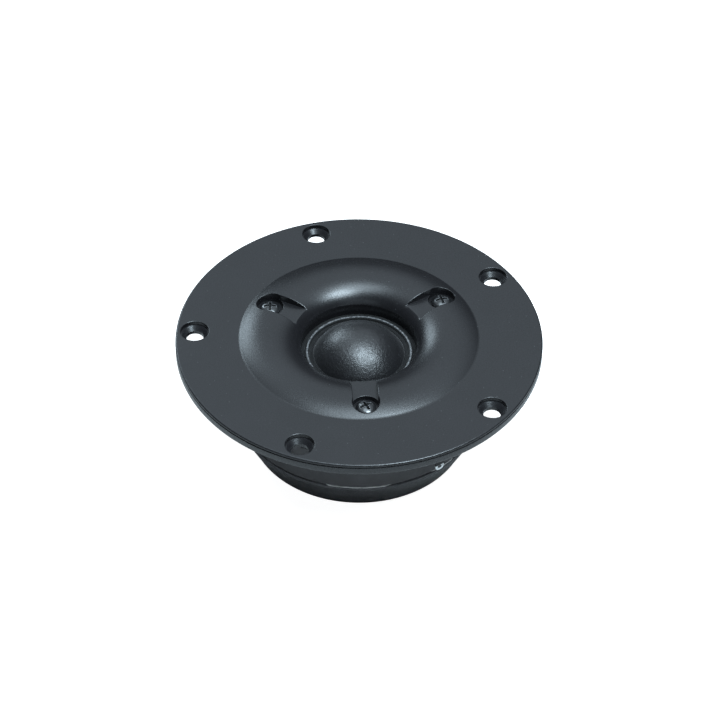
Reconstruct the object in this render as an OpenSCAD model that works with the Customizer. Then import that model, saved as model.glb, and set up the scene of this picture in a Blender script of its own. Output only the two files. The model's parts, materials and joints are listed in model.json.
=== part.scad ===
// Flush-mount dome tweeter with a round faceplate, a ring magnet and a rear cup.
// Origin: centre of the screw circle, on the rear face of the flange. +Z points out of the front.

/* [Faceplate] */
// Outer diameter of the flange
flange_d = 104; // [100:1:110]
// Thickness of the flange
flange_t = 3.5; // [3:0.1:4.5]
// Height of the raised ring above the flange
ring_h = 2; // [1.5:0.1:3]
// Radius of the raised ring's foot, where it leaves the flange
ring_foot_r = 34.1; // [33.5:0.1:35.5]
// Radius of the raised ring's crest
ring_crest_r = 25.5; // [25:0.1:26]
// Radius of the throat around the dome
throat_r = 16.5; // [16.3:0.05:16.8]

/* [Mounting holes] */
// Diameter of the circle through the mounting holes
mount_pcd = 93.4; // [90:0.1:94]
// Number of mounting holes
mount_count = 5; // [4:1:6]
// Diameter of a mounting hole
mount_hole_d = 4.9; // [4:0.1:5.2]
// Diameter of the recess for the screw head
mount_recess_d = 8; // [7:0.1:8.4]
// Depth of the recess
mount_recess_depth = 1.2; // [0.8:0.1:1.6]

/* [Faceplate screws] */
// Number of screws that hold the faceplate to the motor
screw_count = 3; // [3:1:4]
// Radius of the circle through these screws
screw_circle_r = 28.5; // [28:0.1:29]
// Diameter of the screw head
screw_head_d = 5.8; // [5:0.1:6]
// Height of the screw head
screw_head_h = 1.8; // [1.4:0.1:2]
// Length of the screw under its head
screw_length = 10; // [9:0.5:10.5]
// Diameter of the pocket round the screw head
pocket_d = 7.7; // [7:0.1:8]
// Width of the channel from the pocket to the throat
channel_w = 7.1; // [5:0.1:7.2]

/* [Diaphragm] */
// Outer diameter of the dome, at its foot
dome_d = 26.2; // [26:0.05:26.3]
// Height of the dome
dome_h = 7.8; // [6.5:0.1:8]
// Thickness of the dome and the surround
cloth_t = 0.3; // [0.2:0.05:0.35]
// Height of the surround's roll
roll_h = 0.85; // [0.6:0.05:1]
// Inner radius of the coil former
former_r = 12.7; // [12.65:0.05:12.75]
// Height of the coil winding
winding_h = 3; // [2:0.1:3.2]

/* [Motor] */
// Diameter of the ring magnet
magnet_d = 72; // [70:1:72]
// Thickness of the ring magnet
magnet_t = 12.5; // [10:0.5:15]
// Diameter of the top plate
top_plate_d = 70; // [68:1:70]
// Thickness of the top plate
top_plate_t = 4; // [4:0.5:5]
// Diameter of the back plate
back_plate_d = 64; // [60:1:64]
// Thickness of the back plate
back_plate_t = 5; // [4:0.5:5]
// Radius of the pole
pole_r = 12.3; // [12.2:0.05:12.35]
// Radius of the vent through the pole
vent_r = 4; // [2.5:0.5:5]

/* [Rear cup] */
// Height of the rear cup
cup_h = 10.9; // [10:0.1:14]
// Radius of the rear cup at its base
cup_base_r = 31.5; // [31:0.1:33]
// Wall of the rear cup
cup_wall = 1.9; // [1.5:0.1:2]

/* [Terminals] */
// Distance of the tags from the axis
tag_r = 40.4; // [40:0.1:42]
// Width of a tag
tag_w = 2.8; // [2.8:0.1:4.8]
// Thickness of a tag
tag_t = 0.5; // [0.4:0.1:0.8]
// How far a tag hangs down from its lug
tag_drop = 13; // [10:0.5:14]
// Diameter of the eye in a tag
tag_eye_d = 1.4; // [1:0.1:1.6]

/* [Hidden] */

$fn = 96;
eps = 0.5;                 // how far a cutter runs past a face

flange_r = flange_d / 2;
crest_z = flange_t + ring_h;
seat_z = -2.9;             // where the faceplate clamps the surround and the carrier
flare_a = 9.5;              // run of the flare's quarter ellipse, cut off by the throat
flare_end = 180 - acos((ring_crest_r - throat_r) / flare_a);
flare_b = 6.9;             // depth of the flare from the crest to the straight throat
foot_run = ring_foot_r - ring_crest_r;
ring_arc_r = (foot_run * foot_run + ring_h * ring_h) / (2 * ring_h);
edge_r = 0.5;              // rounding of the flange's front edge
edge_groove = 0.25;        // parting groove round the flange
skirt_r = 35;              // the skirt that centres the carrier
skirt_in_r = 33.2;
core_r = [21.5, 31.8];     // hollow under the raised ring
core_top = 1;
core_rib_t = 1.2;
core_rib_count = 12;
boss_r = 4.6;              // boss round each faceplate screw

carrier_r = 33;
carrier_in_r = 15.9;
carrier_z = -4.5;
gasket_t = 0.2;
motor_z = carrier_z - gasket_t;
surround_seat_r = 20;
lug_w = 8;
lug_r = tag_r - tag_t / 2;
notch_w = lug_w + 0.8;
groove_w = 0.9;
groove_z = -4.1;
rivet_r = tag_r - 2.6;
rivet_core_r = 0.8;
rivet_head_r = 1.35;
rivet_head_h = 0.35;
tag_top = seat_z + tag_t;
tag_foot = 5.4;
solder_r = 0.55;
solder_h = 0.34;
solder_x = tag_r - 4.7;
wire_d = 0.38;
wire_sides = 8;
// Route of a lead-out, as distance from the axis and height.
wire_route = [[13.25, -4.2], [14.2, -3.95], [15.4, -3.8], [17, -3.75], [22, -3.75], [28, -3.75],
              [32, -3.75], [33.4, -3.45], [34.2, -2.6], [34.7, -2.22], [35.15, -2.205]];

screw_r = 1.48;
screw_hole_r = 1.7;
thread_r = 1.5;
pocket_z = 2.1;
recess_cross = 3.4;        // span of the cross recess
recess_slot = 0.75;
recess_depth = 1.1;

dome_r = dome_d / 2;
dome_z = -3.1;             // foot of the dome
dome_base_r = dome_r - 0.2;
dome_ball_r = (dome_base_r * dome_base_r + dome_h * dome_h) / (2 * dome_h);
dome_angle = asin(dome_base_r / dome_ball_r);
skirt_h = 0.8;             // the dome's short collar round the former
former_t = 0.12;
former_z = motor_z - top_plate_t + 0.2;
winding_t = 0.35;
winding_mid = motor_z - top_plate_t / 2;
surround_in_r = dome_r + 0.05;
roll_r = 14.8;
roll_w = 1.3;

gap_r = 13.6;              // bore of the top plate
magnet_z = motor_z - top_plate_t;
magnet_in_r = 16;
back_z = magnet_z - magnet_t;
spigot_r = 8;
cap_t = 0.35;
cap_drop = 5.5;
cap_z = motor_z + 0.2;
seam = 0.4;                // the chamfers that hold the glue bead
cup_lip = 0.8;
cup_z = back_z - cup_h;
cup_foot_h = 0.6;          // standing rim under the cup
cup_floor_t = 1.4;
chamber_felt_t = 3;
pole_felt_t = 1.6;

arc_steps = 20;

// Points of an ellipse arc about c, from angle a0 to a1.
function arc(c, rx, ry, a0, a1, n = arc_steps) =
    [for (i = [0 : n]) let (a = a0 + (a1 - a0) * i / n) [c[0] + rx * cos(a), c[1] + ry * sin(a)]];

// Places its children at equal angles round the axis.
module around(count, r, start = 0)
    for (i = [0 : count - 1]) rotate(start + 360 * i / count) translate([r, 0, 0]) children();

// A ring or disc between two heights.
module ring(r_out, r_in, z0, z1)
    translate([0, 0, z0]) difference() {
        cylinder(r = r_out, h = z1 - z0);
        if (r_in > 0) translate([0, 0, -eps]) cylinder(r = r_in, h = z1 - z0 + 2 * eps);
    }

// ---- Faceplate ----

module faceplate_body()
    rotate_extrude() polygon(concat(
        [[throat_r, seat_z]],
        arc([ring_crest_r, crest_z - flare_b], flare_a, flare_b, flare_end, 90),
        arc([ring_crest_r, crest_z - ring_arc_r], ring_arc_r, ring_arc_r, 90,
            90 - asin(foot_run / ring_arc_r), 12),
        arc([flange_r - edge_r, flange_t - edge_r], edge_r, edge_r, 90, 0, 5),
        [[flange_r, 2.75], [flange_r - edge_groove, 2.65], [flange_r - edge_groove, 2.4],
         [flange_r, 2.3], [flange_r, 0.4], [flange_r - 0.4, 0],
         [skirt_r, 0], [skirt_r, motor_z], [skirt_in_r, motor_z], [skirt_in_r, seat_z]]));

module mounting_hole() {
    cylinder(d = mount_hole_d, h = 3 * flange_t, center = true);
    translate([0, 0, flange_t - mount_recess_depth])
        cylinder(d = mount_recess_d, h = mount_recess_depth + eps);
    translate([0, 0, flange_t - mount_recess_depth - 1.1])
        cylinder(d1 = mount_hole_d, d2 = mount_recess_d - 0.7, h = 1.101);
}

module screw_pocket() {
    translate([0, 0, pocket_z]) cylinder(d = pocket_d, h = crest_z);
    translate([0, 0, seat_z - eps]) cylinder(r = screw_hole_r, h = crest_z - seat_z);
}

// The flat channel runs inwards from the pocket, at the level of the flange.
module screw_channel()
    translate([-screw_circle_r + throat_r - 1, -channel_w / 2, flange_t])
        cube([screw_circle_r - throat_r + 1, channel_w, ring_h + 1]);

// The hollow under the raised ring, with its ribs and screw bosses left standing.
module underside_core()
    difference() {
        ring(core_r[1], core_r[0], seat_z - eps, core_top);
        around(screw_count, screw_circle_r) translate([0, 0, seat_z - 1]) cylinder(r = boss_r, h = 5);
        around(core_rib_count, 0, 15)
            translate([core_r[0] - 1, -core_rib_t / 2, seat_z - 1])
                cube([core_r[1] - core_r[0] + 2, core_rib_t, 5]);
    }

module terminal_notch()
    translate([skirt_in_r - 1, -notch_w / 2, motor_z - eps])
        cube([skirt_r - skirt_in_r + 2, notch_w, eps - motor_z - 1.4]);

module faceplate() {
    color("#3f444a") difference() {
        faceplate_body();
        around(mount_count, mount_pcd / 2) mounting_hole();
        around(screw_count, screw_circle_r) { screw_pocket(); screw_channel(); }
        underside_core();
        around(2, 0, 90) terminal_notch();
    }
}

// Pan head with a rounded rim, a cross recess and a plain core for the thread.
module screw() {
    translate([0, 0, pocket_z - screw_length]) cylinder(r = screw_r, h = screw_length + 0.2);
    translate([0, 0, pocket_z]) difference() {
        rotate_extrude() polygon(concat([[0, 0], [screw_head_d / 2 - 0.1, 0]],
            arc([screw_head_d / 2 - 0.9, screw_head_h - 1.2], 0.9, 1.2, 0, 90, 8), [[0, screw_head_h]]));
        for (a = [45, 135]) rotate(a)
            translate([-recess_cross / 2, -recess_slot / 2, screw_head_h - recess_depth])
                cube([recess_cross, recess_slot, recess_depth + 1]);
    }
}

module faceplate_screws() {
    color("#202022") around(screw_count, screw_circle_r) screw();
}

// ---- Diaphragm carrier and terminals ----

module diaphragm_carrier() {
    color("#26282a") difference() {
        union() {
            ring(carrier_r, carrier_in_r, carrier_z, seat_z);
            around(2, 0, 90) translate([carrier_r - 1.5, -lug_w / 2, carrier_z])
                cube([lug_r - carrier_r + 1.5, lug_w, seat_z - carrier_z]);
        }
        ring(surround_seat_r, 0, seat_z - cloth_t, seat_z + 1);
        around(2, 0, 90) translate([carrier_in_r - 1, -groove_w / 2, groove_z])
            cube([tag_r - 5 - carrier_in_r + 1, groove_w, 3]);
        around(screw_count, screw_circle_r) translate([0, 0, -6]) cylinder(r = screw_hole_r, h = 6);
        around(2, rivet_r, 90) translate([0, 0, -6]) cylinder(r = rivet_core_r, h = 6);
    }
}

module carrier_gasket() {
    color("#1c1c1c") difference() {
        ring(carrier_r, carrier_in_r, motor_z, carrier_z);
        around(screw_count, screw_circle_r) translate([0, 0, -6]) cylinder(r = screw_hole_r, h = 6);
    }
}

// An angle tag: a foot on the lug and a blade that hangs outside it, with a round end and an eye.
module terminal_tag() {
    blade_x = tag_r - tag_t / 2;
    tip_z = seat_z - tag_drop + tag_w / 2;
    difference() {
        union() {
            translate([tag_r - tag_foot, -tag_w / 2, seat_z]) cube([tag_foot + tag_t / 2, tag_w, tag_t]);
            translate([blade_x, -tag_w / 2, tip_z]) cube([tag_t, tag_w, tag_top - tip_z]);
            translate([blade_x, 0, tip_z]) rotate([0, 90, 0]) cylinder(d = tag_w, h = tag_t, $fn = 48);
        }
        translate([blade_x - 1, 0, tip_z]) rotate([0, 90, 0]) cylinder(d = tag_eye_d, h = 3, $fn = 32);
        translate([rivet_r, 0, seat_z - 1]) cylinder(r = rivet_core_r, h = 3, $fn = 32);
    }
}

module terminal_positive() {
    color("silver") rotate(90) terminal_tag();
}

module terminal_negative() {
    color("silver") rotate(-90) terminal_tag();
}

module terminal_rivets() {
    color("silver") around(2, rivet_r, 90) difference() {
        union() {
            translate([0, 0, tag_top]) cylinder(r = rivet_head_r, h = rivet_head_h, $fn = 32);
            translate([0, 0, carrier_z - rivet_head_h]) cylinder(r = rivet_head_r, h = rivet_head_h, $fn = 32);
            translate([0, 0, carrier_z - 0.1]) cylinder(r = rivet_core_r, h = tag_top - carrier_z + 0.2, $fn = 32);
        }
        translate([0, 0, -6]) cylinder(r = 0.4, h = 6, $fn = 32);
    }
}

module solder_joints() {
    ball = (solder_r * solder_r + solder_h * solder_h) / (2 * solder_h);
    color("gainsboro") around(2, solder_x, 90)
        translate([0, 0, tag_top]) difference() {
            translate([0, 0, solder_h - ball]) sphere(r = ball, $fn = 32);
            translate([0, 0, -1]) cube([3, 3, 2], center = true);
        }
}

// Each lead-out leaves the winding, runs in the carrier's groove and ends at the solder joint.
// Slope of the route at point i, averaged over its two stretches.
function route_angle(p, i) =
    let (a = p[max(i - 1, 0)], b = p[min(i + 1, len(p) - 1)]) atan2(b[1] - a[1], b[0] - a[0]);

// A round tube along a route that lies in the XZ plane.
module route_tube(p, d, sides) {
    points = [for (i = [0 : len(p) - 1]) for (k = [0 : sides - 1])
        let (t = route_angle(p, i), u = d / 2 * cos(360 * k / sides), v = d / 2 * sin(360 * k / sides))
        [p[i][0] - u * sin(t), v, p[i][1] + u * cos(t)]];
    walls = [for (i = [0 : len(p) - 2]) for (k = [0 : sides - 1])
        let (n = (k + 1) % sides)
        [i * sides + k, i * sides + n, (i + 1) * sides + n, (i + 1) * sides + k]];
    first = [for (k = [sides - 1 : -1 : 0]) k];
    last = [for (k = [0 : sides - 1]) (len(p) - 1) * sides + k];
    polyhedron(points, concat([first], walls, [last]));
}

module lead_out_wires() {
    color("#b87333") around(2, 0, 90) route_tube(wire_route, wire_d, wire_sides);
}

// ---- Motor ----

module top_plate() {
    color("#303030") difference() {
        ring(top_plate_d / 2, gap_r, magnet_z, motor_z);
        around(screw_count, screw_circle_r)
            translate([0, 0, magnet_z - 1]) cylinder(r = thread_r, h = top_plate_t + 2);
    }
}

module magnet() {
    color("#35332f") rotate_extrude() polygon([
        [magnet_in_r, back_z], [magnet_d / 2 - seam, back_z], [magnet_d / 2, back_z + seam],
        [magnet_d / 2, magnet_z - seam], [magnet_d / 2 - seam, magnet_z], [magnet_in_r, magnet_z]]);
}

module pole_piece() {
    color("#6d6d6d") difference() {
        union() {
            translate([0, 0, back_z]) cylinder(r = pole_r, h = cap_z - cap_drop - back_z);
            translate([0, 0, back_z]) cylinder(r = pole_r - cap_t, h = cap_z - cap_t - back_z);
            translate([0, 0, back_z - back_plate_t]) cylinder(r = spigot_r, h = back_plate_t + 1);
        }
        translate([0, 0, back_z - back_plate_t - 1]) cylinder(r = vent_r, h = 40);
    }
}

module copper_cap() {
    color("#b87333") rotate_extrude() polygon([
        [pole_r - cap_t, cap_z - cap_drop], [pole_r, cap_z - cap_drop], [pole_r, cap_z],
        [vent_r, cap_z], [vent_r, cap_z - cap_t], [pole_r - cap_t, cap_z - cap_t]]);
}

module pole_felt() {
    color("#8a8a86") ring(9.5, vent_r + 0.2, cap_z, cap_z + pole_felt_t);
}

module back_plate() {
    color("#303030") ring(back_plate_d / 2, spigot_r, back_z - back_plate_t, back_z);
}

// The cup's outer outline from the seam to the standing rim, pulled in by the wall's thickness.
module rear_cup() {
    r = magnet_d / 2;
    lip_z = back_z - cup_lip - seam;
    foot_z = cup_z + cup_foot_h;
    floor_z = foot_z + cup_floor_t;
    slope = (r - cup_base_r) / (lip_z - foot_z);
    color("#222224") rotate_extrude() polygon(concat(
        [[r - cup_wall, back_z], [r - seam, back_z], [r, back_z - seam], [r, lip_z]],
        arc([cup_base_r - cup_foot_h, foot_z], cup_foot_h, cup_foot_h, 0, -90, 6),
        [[cup_base_r - 4, cup_z], [cup_base_r - 4.5, foot_z], [0, foot_z], [0, floor_z],
         [r - cup_wall - slope * (lip_z - floor_z), floor_z], [r - cup_wall, lip_z]]));
}

module chamber_felt() {
    floor_z = cup_z + cup_foot_h + cup_floor_t;
    color("#8a8a86") ring(28.5, 0, floor_z, floor_z + chamber_felt_t);
}

module glue_bead() {
    r = magnet_d / 2;
    color("#6e6a62") rotate_extrude()
        polygon([[r - seam, back_z], [r, back_z - seam], [r + 0.05, back_z], [r, back_z + seam]]);
}

// ---- Diaphragm ----

module dome() {
    color("#2c2e31") rotate_extrude() polygon(concat(
        arc([0, dome_z + dome_h - dome_ball_r], dome_ball_r, dome_ball_r, 90, 90 - dome_angle, 16),
        [[dome_r, dome_z], [dome_r, dome_z - skirt_h], [former_r + former_t, dome_z - skirt_h],
         [former_r + former_t, dome_z - cloth_t]],
        arc([0, dome_z + dome_h - dome_ball_r], dome_ball_r - cloth_t, dome_ball_r - cloth_t,
            90 - dome_angle, 90, 16)));
}

// A narrow half-roll of cloth. Its outer edge lies in the carrier's seat, under the faceplate.
module surround() {
    color("#26272a") rotate_extrude() polygon(concat(
        [[surround_in_r, dome_z - cloth_t], [surround_in_r, dome_z]],
        arc([roll_r, dome_z], roll_w / 2, roll_h, 180, 0, 16),
        [[carrier_in_r, seat_z], [surround_seat_r, seat_z], [surround_seat_r, seat_z - cloth_t],
         [carrier_in_r, seat_z - cloth_t], [roll_r + roll_w / 2, dome_z - cloth_t]],
        arc([roll_r, dome_z - cloth_t], roll_w / 2 - 0.25, roll_h, 0, 180, 16)));
}

module coil_former() {
    color("#a08a60") ring(former_r + former_t, former_r, former_z, dome_z - cloth_t - 0.05);
}

module former_collar() {
    color("#8a6a48") ring(former_r + former_t + 0.13, former_r + former_t,
                          winding_mid + winding_h / 2, dome_z - skirt_h);
}

module voice_coil() {
    color("#b87333") ring(former_r + former_t + winding_t, former_r + former_t,
                          winding_mid - winding_h / 2, winding_mid + winding_h / 2);
}

faceplate();
faceplate_screws();
diaphragm_carrier();
carrier_gasket();
surround();
lead_out_wires();
solder_joints();
terminal_positive();
terminal_negative();
terminal_rivets();
top_plate();
magnet();
pole_piece();
copper_cap();
pole_felt();
back_plate();
rear_cup();
chamber_felt();
glue_bead();
dome();
coil_former();
former_collar();
voice_coil();
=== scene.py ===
"""Dome tweeter: the pieces, their finishes and a small studio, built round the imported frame."""

import json
import math

import bmesh
import bpy
from mathutils import Matrix, Quaternion, Vector, noise
from mathutils.geometry import delaunay_2d_cdt


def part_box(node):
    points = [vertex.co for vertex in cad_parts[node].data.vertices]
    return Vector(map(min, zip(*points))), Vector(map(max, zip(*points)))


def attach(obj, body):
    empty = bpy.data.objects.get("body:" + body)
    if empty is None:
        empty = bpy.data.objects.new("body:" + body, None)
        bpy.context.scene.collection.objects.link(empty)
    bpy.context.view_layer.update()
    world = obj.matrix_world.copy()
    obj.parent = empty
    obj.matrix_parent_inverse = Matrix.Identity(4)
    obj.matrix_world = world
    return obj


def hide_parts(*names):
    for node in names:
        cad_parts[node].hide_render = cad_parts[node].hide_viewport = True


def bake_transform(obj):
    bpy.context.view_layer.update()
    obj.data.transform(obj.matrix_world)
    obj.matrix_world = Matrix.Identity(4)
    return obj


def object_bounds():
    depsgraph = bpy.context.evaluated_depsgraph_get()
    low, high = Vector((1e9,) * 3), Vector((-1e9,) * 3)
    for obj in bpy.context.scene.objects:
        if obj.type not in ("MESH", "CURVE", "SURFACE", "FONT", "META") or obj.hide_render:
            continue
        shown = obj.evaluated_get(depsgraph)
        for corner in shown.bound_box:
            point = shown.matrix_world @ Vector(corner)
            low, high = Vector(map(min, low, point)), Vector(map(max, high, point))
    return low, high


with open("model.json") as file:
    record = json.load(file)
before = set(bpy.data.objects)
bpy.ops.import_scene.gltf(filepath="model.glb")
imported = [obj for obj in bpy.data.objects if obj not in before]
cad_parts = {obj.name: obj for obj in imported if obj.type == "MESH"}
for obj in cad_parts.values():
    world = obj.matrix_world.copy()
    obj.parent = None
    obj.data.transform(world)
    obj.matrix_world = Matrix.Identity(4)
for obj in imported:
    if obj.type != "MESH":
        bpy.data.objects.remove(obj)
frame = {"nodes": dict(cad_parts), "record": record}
CAD_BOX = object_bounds()

bl_info = {
    "name": "Dome tweeter",
    "version": (1, 0, 0),
    "blender": (4, 5, 0),
    "location": "3D View > Sidebar > Tweeter",
    "description": "Builds a dome tweeter, its finishes and a studio round the packed frame",
    "category": "Add Mesh",
}

MM = 0.001
TAU = 2 * math.pi
ROOT = "root"
DIAPHRAGM = "diaphragm"
HOLES = next(m for m in frame["record"]["mounts"] if m["name"] == "mounting_holes")["dims"]


def extent(node):
    """A CAD node's radius along X, its foot and its top, in millimetres."""
    low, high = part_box(node)
    return high.x / MM, low.z / MM, high.z / MM


FLANGE_RADIUS, SKIRT_FOOT, CREST_HEIGHT = extent("faceplate")
SEAT_HEIGHT = extent("diaphragm_carrier")[2]
DOME_FOOT = -3.1
SCREW_COUNT = 3


# ---------------------------------------------------------------- sizes and colours


def length(label, default):
    return bpy.props.FloatProperty(name=label, default=default, min=0, unit="LENGTH", precision=5)


def angle(label, degrees):
    return bpy.props.FloatProperty(name=label, default=math.radians(degrees), subtype="ANGLE")


def colour(label, *default):
    return bpy.props.FloatVectorProperty(
        name=label, default=default, size=3, min=0, max=1, subtype="COLOR"
    )


class TWEETER_PG_faceplate(bpy.types.PropertyGroup):
    """Sizes of the moulded faceplate."""

    ring_height: length("Height of the raised ring", 2 * MM)
    ring_foot: length("Radius where the ring leaves the flange", 34.1 * MM)
    ring_crest: length("Radius of the ring's crest", 25.5 * MM)
    throat: length("Radius of the throat", 16.5 * MM)
    flare_run: length("Run of the flare's quarter ellipse", 9.5 * MM)
    flare_depth: length("Depth of the flare below the crest", 6.9 * MM)
    recess: length("Radius of a mounting hole's recess", 4 * MM)
    recess_depth: length("Depth of a mounting hole's recess", 1.2 * MM)
    screw_circle: length("Radius of the circle through the screws", 28.5 * MM)
    pocket: length("Radius of a screw pocket", 3.85 * MM)
    channel: length("Half the width of a screw channel", 3.55 * MM)
    rounding: length("Rounding of the moulded edges", 0.22 * MM)


class TWEETER_PG_diaphragm(bpy.types.PropertyGroup):
    """Sizes of the moving parts."""

    cloth: length("Thickness of the cloth", 0.3 * MM)
    roll: length("Height of the surround's roll", 0.85 * MM)
    turns: bpy.props.IntProperty(name="Turns of wire in one layer", default=19, min=4)


class TWEETER_PG_finish(bpy.types.PropertyGroup):
    """Colours of the finishes."""

    plastic: colour("Faceplate", 0.0072, 0.0068, 0.0078)
    cup: colour("Rear cup", 0.056, 0.053, 0.055)
    carrier: colour("Diaphragm carrier", 0.009, 0.009, 0.0095)
    cloth: colour("Coated cloth", 0.006, 0.0058, 0.0066)
    screw: colour("Blackened screws", 0.012, 0.012, 0.013)
    ferrite: colour("Magnet", 0.056, 0.052, 0.053)
    steel: colour("Plated steel", 0.02, 0.02, 0.022)
    tin: colour("Tinned tags", 0.9, 0.93, 0.93)
    copper: colour("Copper", 0.72, 0.33, 0.18)
    felt: colour("Felt", 0.28, 0.28, 0.27)


class TWEETER_PG_stage(bpy.types.PropertyGroup):
    """The studio."""

    distance: length("Camera to the middle of the flange", 0.768)
    azimuth: angle("Camera's turn round the axis", -34.2)
    elevation: angle("Camera's height above the horizon", 42.25)
    lens: bpy.props.FloatProperty(name="Focal length on a 36 mm sensor", default=135.6)


# ---------------------------------------------------------------- outlines


def circle(radius, count, centre=(0, 0)):
    """Points of a circle."""
    angles = [TAU * i / count for i in range(count)]
    return [(centre[0] + radius * math.cos(a), centre[1] + radius * math.sin(a)) for a in angles]


def arc(centre, rx, ry, first, last, steps):
    """Points of an ellipse arc between two angles in degrees."""
    angles = [math.radians(first + (last - first) * i / steps) for i in range(steps + 1)]
    return [(centre[0] + rx * math.cos(a), centre[1] + ry * math.sin(a)) for a in angles]


def rounded(profile, size, steps=3):
    """Rounds every corner of a closed outline by cutting it back by size."""
    out = []
    for i, p in enumerate(profile):
        before, after = profile[i - 1], profile[(i + 1) % len(profile)]
        cut = min(size, 0.45 * math.dist(p, before), 0.45 * math.dist(p, after))
        a = [p[k] + (before[k] - p[k]) * cut / math.dist(p, before) for k in (0, 1)]
        b = [p[k] + (after[k] - p[k]) * cut / math.dist(p, after) for k in (0, 1)]
        for t in [j / steps for j in range(steps + 1)]:
            out.append(tuple((1 - t) ** 2 * a[k] + 2 * t * (1 - t) * p[k] + t * t * b[k] for k in (0, 1)))
    return out


def rounded_open(outline, size):
    """Rounds the corners of an outline that starts and ends on the axis."""
    return [outline[0], *rounded(outline, size, 2)[3:-3], outline[-1]]


def refined(outline, step):
    """The closed outline with its long sides divided."""
    out = []
    for i, a in enumerate(outline):
        b = outline[(i + 1) % len(outline)]
        count = max(1, math.ceil(math.dist(a, b) / step))
        out += [tuple(a[n] + (b[n] - a[n]) * k / count for n in (0, 1)) for k in range(count)]
    return out


def triangulate(loops, lines, points=()):
    """Triangles over scattered points that keep every loop and line as edges."""
    coords, edges = [], []
    for ends, closed in [*((loop, True) for loop in loops), *((line, False) for line in lines)]:
        first, count = len(coords), len(ends)
        coords += ends
        edges += [(first + i, first + (i + 1) % count) for i in range(count if closed else count - 1)]
    coords += points
    made = delaunay_2d_cdt([Vector(c) for c in coords], edges, [], 0, 1e-5)
    return [(v.x, v.y) for v in made[0]], [tuple(f) for f in made[2]]


def middle_of(flat, face):
    """The middle of one flat triangle."""
    return [sum(flat[i][k] for i in face) / 3 for k in (0, 1)]


# ---------------------------------------------------------------- meshes and pieces


def link(name, data):
    obj = bpy.data.objects.new(name, data)
    bpy.context.scene.collection.objects.link(obj)
    return obj


def angle_over(edge, limit):
    """True where two faces meet at more than limit degrees."""
    return len(edge.link_faces) == 2 and edge.calc_face_angle(0) > math.radians(limit)


def drop_stray_points(bm):
    bmesh.ops.delete(bm, geom=[v for v in bm.verts if not v.link_faces], context="VERTS")


def soften(mesh, sharp_degrees=38, weld=0.0):
    """Welds doubles, points the faces outwards and smooths all but the sharp edges."""
    bm = bmesh.new()
    bm.from_mesh(mesh)
    if weld:
        bmesh.ops.remove_doubles(bm, verts=bm.verts, dist=weld)
        bmesh.ops.dissolve_degenerate(bm, edges=bm.edges, dist=weld / 4)
    bmesh.ops.recalc_face_normals(bm, faces=bm.faces)
    for face in bm.faces:
        face.smooth = True
    limit = math.radians(sharp_degrees)
    for edge in bm.edges:
        edge.smooth = len(edge.link_faces) == 2 and edge.calc_face_angle(0) < limit
    drop_stray_points(bm)
    bm.to_mesh(mesh)
    bm.free()


def round_edges(bm, width, limit):
    """Bevels every edge that turns by more than limit degrees."""
    edges = [e for e in bm.edges if angle_over(e, limit)]
    bmesh.ops.bevel(
        bm, geom=edges, offset=width, offset_type="OFFSET", segments=2,
        profile=0.5, affect="EDGES", clamp_overlap=True,
    )


def paint(mesh, name, values):
    """Writes one number per vertex, as an attribute that a finish reads."""
    mesh.attributes.new(name, "FLOAT", "POINT").data.foreach_set("value", values)


def paint_edges(mesh, low=12, high=60):
    """Writes the edge attribute: 1 on convex edges, falling to 0 on open faces."""
    bm = bmesh.new()
    bm.from_mesh(mesh)
    values = []
    for vert in bm.verts:
        edges = [e for e in vert.link_edges if len(e.link_faces) == 2 and e.is_convex]
        turn = max([0.0, *(math.degrees(e.calc_face_angle(0)) for e in edges)])
        values.append(min(1.0, max(0.0, (turn - low) / (high - low))))
    bm.free()
    paint(mesh, "edge", values)


def dress(obj, slot):
    """Gives a piece the finish of its slot."""
    obj.data.materials.clear()
    obj.data.materials.append(finish_of(slot))


def place(name, mesh, slot, nodes, body=ROOT):
    """Makes a mesh into a piece, with its finish, its body and the CAD nodes it stands for."""
    obj = link(name, mesh)
    if body:
        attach(obj, body)
    dress(obj, slot)
    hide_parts(*nodes)
    return obj


class Sheet:
    """Collects lifted sheets and turned strips, in millimetres, and makes one mesh of them."""

    def __init__(self):
        self.verts, self.faces = [], []

    def lift(self, flat, faces, height, keep):
        """Adds flat triangles at the height that height(x, y) gives, where keep(x, y) holds."""
        first = len(self.verts)
        self.verts += [(x, y, height(x, y)) for x, y in flat]
        kept = [face for face in faces if keep(*middle_of(flat, face))]
        self.faces += [tuple(first + i for i in face) for face in kept]

    def strip(self, profile, count, centre=(0, 0)):
        """Adds a turned strip: profile is (radius, height) pairs."""
        first = len(self.verts)
        for radius, z in profile:
            self.verts += [(x, y, z) for x, y in circle(radius, count, centre)]
        for k in range(len(profile) - 1):
            a, b = first + k * count, first + (k + 1) * count
            for i in range(count):
                j = (i + 1) % count
                self.faces.append((a + i, a + j, b + j, b + i))

    def mesh(self, name, sharp_degrees):
        mesh = bpy.data.meshes.new(name)
        mesh.from_pydata([Vector(v) * MM for v in self.verts], [], self.faces)
        soften(mesh, sharp_degrees, 0.001 * MM)
        return mesh


def bevelled_copy(node, width):
    """A copy of a CAD node's mesh with its flat faces joined and its edges rounded."""
    mesh = frame["nodes"][node].data.copy()
    mesh.name = node + "_shape"
    bm = bmesh.new()
    bm.from_mesh(mesh)
    bmesh.ops.remove_doubles(bm, verts=bm.verts, dist=0.002 * MM)
    flat = math.radians(1)
    bmesh.ops.dissolve_limit(
        bm, angle_limit=flat, verts=bm.verts, edges=bm.edges, use_dissolve_boundaries=False
    )
    round_edges(bm, width, 40)
    bm.to_mesh(mesh)
    bm.free()
    soften(mesh)
    paint_edges(mesh)
    return mesh


# ---------------------------------------------------------------- node trees


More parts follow.
